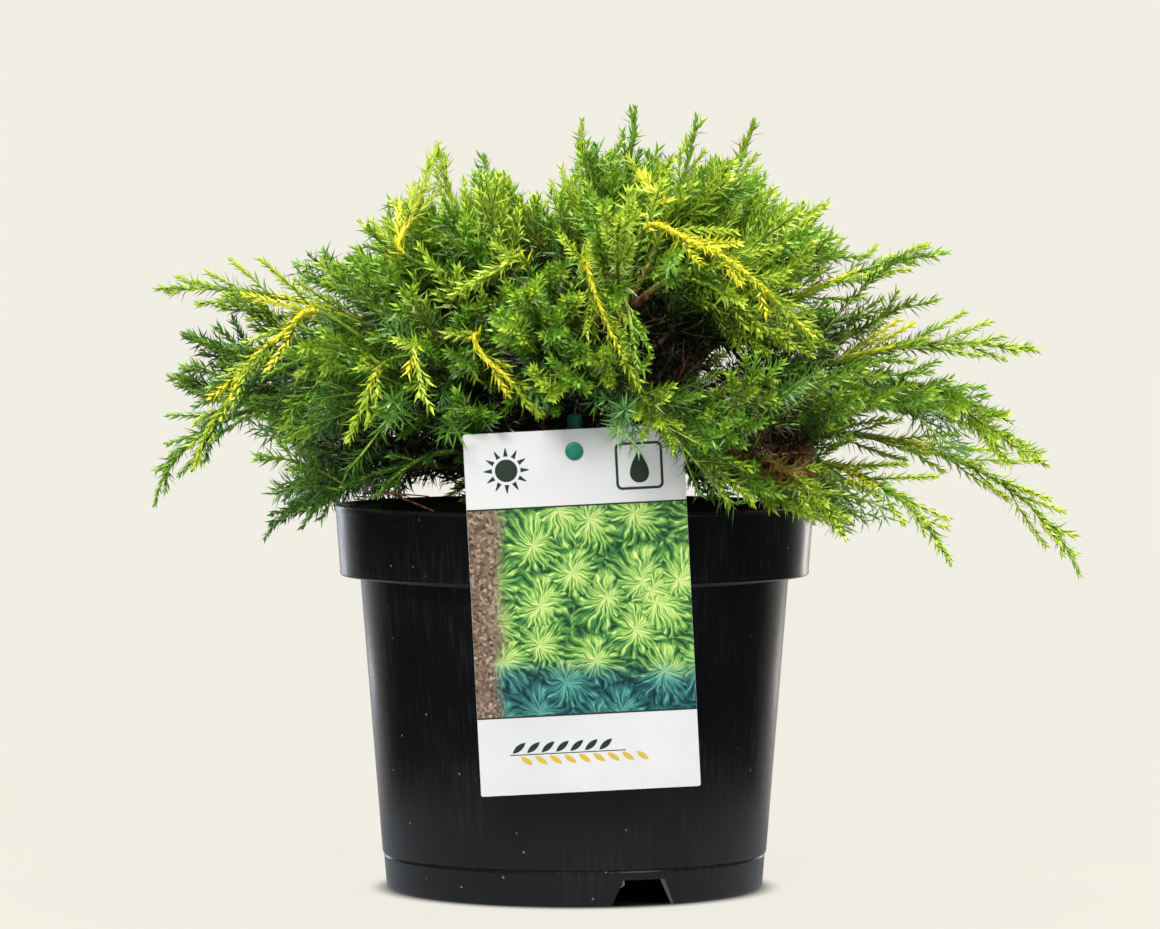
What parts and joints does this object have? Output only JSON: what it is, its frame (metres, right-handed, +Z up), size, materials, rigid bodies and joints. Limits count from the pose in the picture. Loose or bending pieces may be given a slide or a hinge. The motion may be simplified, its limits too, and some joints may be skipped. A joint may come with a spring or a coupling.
{
  "type": "potted golden juniper",
  "caption": "Spreading golden juniper in a round black nursery pot, with drooping needled boughs round an upright middle and a blank hanging plant label.",
  "frame": {"origin": "centre of the pot's flat underside, on the pot's axis, where it stands on a surface", "axes": "+Z up along the pot's axis; -Y is the front, where the label hangs; +X is to the right seen from the front"},
  "size_m": [0.3691, 0.3169, 0.311],
  "materials": {
    "pot": "black moulded polypropylene, satin gloss with dust",
    "compost": "dark moist peat and bark compost",
    "bark": "red-brown thin flaking bark",
    "foliage": "lime to deep green juniper needles, waxy",
    "gold_foliage": "golden yellow juniper needles, waxy",
    "label": null,
    "stake": "teal green moulded plastic"
  },
  "bodies": {
    "root": {"pot": "pot", "soil": "compost", "trunk": "bark", "bough_low_right": "bark", "foliage_low_right": "foliage", "bough_low_right_front": "bark", "foliage_low_right_front": "foliage", "bough_low_front_right": "bark", "foliage_low_front_right": "foliage", "bough_low_front_left": "bark", "foliage_low_front_left": "foliage", "bough_low_left_front": "bark", "foliage_low_left_front": "foliage", "bough_low_left": "bark", "foliage_low_left": "foliage", "bough_low_back_left": "bark", "foliage_low_back_left": "foliage", "bough_low_back": "bark", "foliage_low_back": "foliage", "bough_low_back_right": "bark", "foliage_low_back_right": "foliage", "bough_front": "bark", "foliage_front": "foliage", "bough_left_gold": "bark", "foliage_left_gold": "gold_foliage", "bough_right_mid": "bark", "foliage_right_mid": "foliage", "bough_back_mid": "bark", "foliage_back_mid": "foliage", "bough_left_droop": "bark", "foliage_left_droop": "foliage", "bough_front_left_gold": "bark", "foliage_front_left_gold": "gold_foliage", "bough_right_front_mid": "bark", "foliage_right_front_mid": "foliage", "bough_right_high": "bark", "foliage_right_high": "foliage", "bough_back_left_mid": "bark", "foliage_back_left_mid": "foliage", "bough_front_gold": "bark", "foliage_front_gold": "gold_foliage", "bough_front_left_mid": "bark", "foliage_front_left_mid": "foliage", "bough_left_high": "bark", "foliage_left_high": "foliage", "bough_front_right_gold": "bark", "foliage_front_right_gold": "gold_foliage", "bough_left_front_mid": "bark", "foliage_left_front_mid": "foliage", "foliage_right_up": "foliage", "foliage_left_up": "foliage", "foliage_back_up": "foliage", "foliage_top_far_right": "foliage", "foliage_top_far_left": "foliage", "foliage_top_left": "foliage", "foliage_top_back": "foliage", "foliage_top": "foliage", "foliage_top_right": "foliage", "label_card": "label", "label_stake": "stake"}
  },
  "joints": []
}
